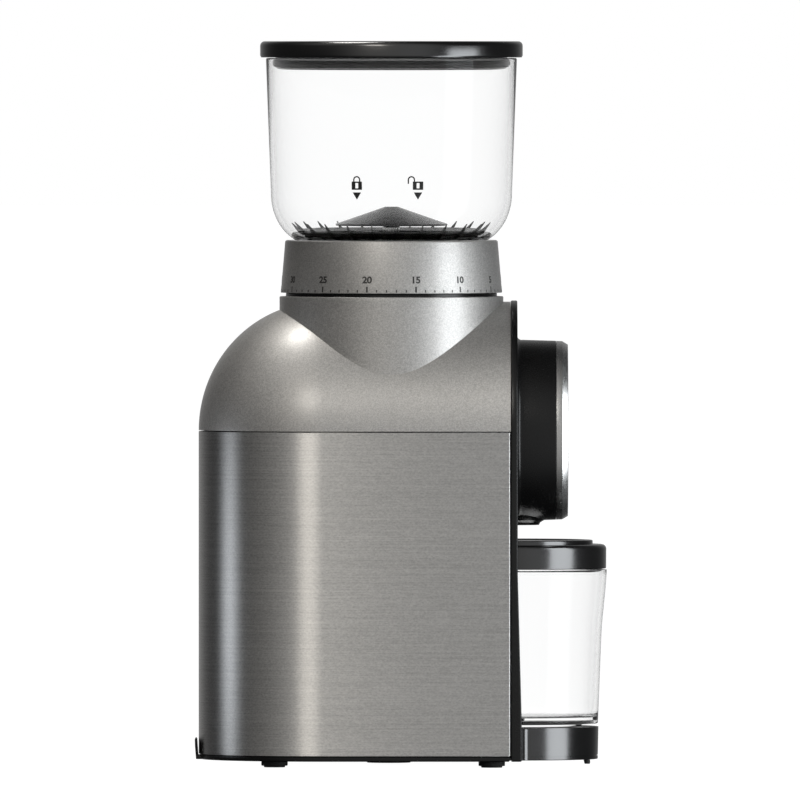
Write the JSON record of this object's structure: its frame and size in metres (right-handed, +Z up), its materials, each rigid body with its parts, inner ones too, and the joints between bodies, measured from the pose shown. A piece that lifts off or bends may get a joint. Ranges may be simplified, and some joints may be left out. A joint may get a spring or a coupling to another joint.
{
  "type": "burr coffee grinder",
  "caption": "Upright burr coffee grinder with a clear bean hopper, a numbered grind ring, a steel body and a clear cup under the spout.",
  "frame": {"origin": "centre of the footprint box, on the surface the feet stand on", "axes": "+Z up, +X towards the front (the cup side), +Y across the body to the left"},
  "size_m": [0.1936, 0.1234, 0.3402],
  "materials": {
    "black_plastic": "satin moulded black",
    "rubber": "matte black",
    "brushed_steel": "horizontal brush lines",
    "metallic_paint": "satin warm grey metallic",
    "ring_metal": "circular brushed",
    "lens_black": "dark gloss window",
    "button_grey": "satin grey",
    "circuit_board": "green solder mask",
    "gear_steel": "ground steel",
    "gear_nylon": "natural nylon",
    "inner_grey": "moulded grey",
    "burr_steel": "hardened steel",
    "motor_steel": "zinc plated",
    "magnet": "sintered ferrite",
    "copper_winding": "varnished copper",
    "clear_plastic": "clear polished plastic"
  },
  "bodies": {
    "housing": {"base_plate": "black_plastic", "foot_front_left": "rubber", "foot_front_right": "rubber", "foot_rear_left": "rubber", "foot_rear_right": "rubber", "centre_pad": "rubber", "cord_inlet": "rubber", "cup_stand": "black_plastic", "stand_foot_left": "rubber", "stand_foot_right": "rubber", "steel_wrap": "brushed_steel", "upper_housing": "metallic_paint", "front_panel": "black_plastic", "cup_bay": "black_plastic", "spout": "black_plastic", "grounds_chute": "black_plastic", "pod_housing": "black_plastic", "pod_face": "black_plastic", "display_lens": "lens_black", "display_board": "circuit_board", "gearbox_housing": "inner_grey", "gearbox_cover": "inner_grey", "idler_axle": "gear_steel", "lower_bearing": "gear_steel", "upper_bearing": "gear_steel", "motor_can": "motor_steel", "motor_end_bell": "black_plastic", "motor_magnet_ring": "magnet", "motor_damper": "rubber", "burr_chamber": "black_plastic", "control_board": "circuit_board", "hopper_switch": "black_plastic"},
    "grind_ring": {"grind_ring": "metallic_paint", "ring_sleeve": "inner_grey"},
    "upper_burr": {"upper_burr_carrier": "black_plastic", "ring_burr": "burr_steel"},
    "burr_rotor": {"cone_burr": "burr_steel", "impeller": "inner_grey", "burr_shaft": "gear_steel", "burr_nut": "gear_steel", "drive_gear": "gear_nylon"},
    "idler": {"idler_gear": "gear_nylon"},
    "motor_rotor": {"motor_armature": "copper_winding", "motor_shaft": "gear_steel", "motor_pinion": "gear_steel"},
    "hopper_seat": {"hopper_gasket": "rubber"},
    "hopper": {"hopper_bowl": "clear_plastic", "hopper_collar": "black_plastic", "bean_guard": "black_plastic", "guard_cone": "black_plastic", "guard_screw": "gear_steel"},
    "lid": {"hopper_lid": "black_plastic", "lid_seal": "rubber"},
    "cup": {"cup": "clear_plastic", "cup_base_pad": "rubber"},
    "cup_lid": {"cup_lid": "black_plastic", "cup_lid_disc": "black_plastic"},
    "selector": {"selector_ring": "ring_metal"},
    "start_button": {"start_button": "button_grey"}
  },
  "joints": [
    {"name": "motor_spin", "type": "hinge", "parent": "housing", "child": "motor_rotor", "pos_m": [-0.05, 0, 0.06], "axis": [0, 0, 1], "continuous": true},
    {"name": "idler_spin", "type": "hinge", "parent": "housing", "child": "idler", "pos_m": [-0.02878, 0.01749, 0.13], "axis": [0, 0, 1], "continuous": true},
    {"name": "burr_spin", "type": "hinge", "parent": "housing", "child": "burr_rotor", "pos_m": [-0.0044, 0, 0.17], "axis": [0, 0, 1], "continuous": true},
    {"name": "grind_ring_turn", "type": "hinge", "parent": "housing", "child": "grind_ring", "pos_m": [-0.0044, 0, 0.23], "axis": [0, 0, 1], "range_deg": [0, 256.5]},
    {"name": "upper_burr_rise", "type": "slide", "parent": "housing", "child": "upper_burr", "axis": [0, 0, 1], "range_m": [0, 0.00151]},
    {"name": "hopper_turn", "type": "hinge", "parent": "grind_ring", "child": "hopper_seat", "pos_m": [-0.0044, 0, 0.227], "axis": [0, 0, 1], "range_deg": [-30.7, 0]},
    {"name": "hopper_lift", "type": "slide", "parent": "hopper_seat", "child": "hopper", "axis": [0, 0, 1], "range_m": [0, 0.06]},
    {"name": "lid_lift", "type": "slide", "parent": "hopper", "child": "lid", "axis": [0, 0, 1], "range_m": [0, 0.04]},
    {"name": "cup_slide", "type": "slide", "parent": "housing", "child": "cup", "axis": [1, 0, 0], "range_m": [0, 0.09]},
    {"name": "cup_lid_lift", "type": "slide", "parent": "cup", "child": "cup_lid", "axis": [0, 0, 1], "range_m": [0, 0.0065]},
    {"name": "selector_turn", "type": "hinge", "parent": "housing", "child": "selector", "pos_m": [0.075, 0, 0.1574], "axis": [1, 0, 0], "continuous": true},
    {"name": "start_press", "type": "slide", "parent": "housing", "child": "start_button", "axis": [-1, 0, 0], "range_m": [0, 0.0012], "stiffness_N_per_m": 400, "springref_m": -0.001}
  ],
  "couplings": [
    {"joint": "idler_spin", "follows": "motor_spin", "ratio": -0.29412},
    {"joint": "burr_spin", "follows": "motor_spin", "ratio": 0.08744},
    {"joint": "upper_burr_rise", "follows": "grind_ring_turn", "m_per_rad": 0.00033506}
  ]
}
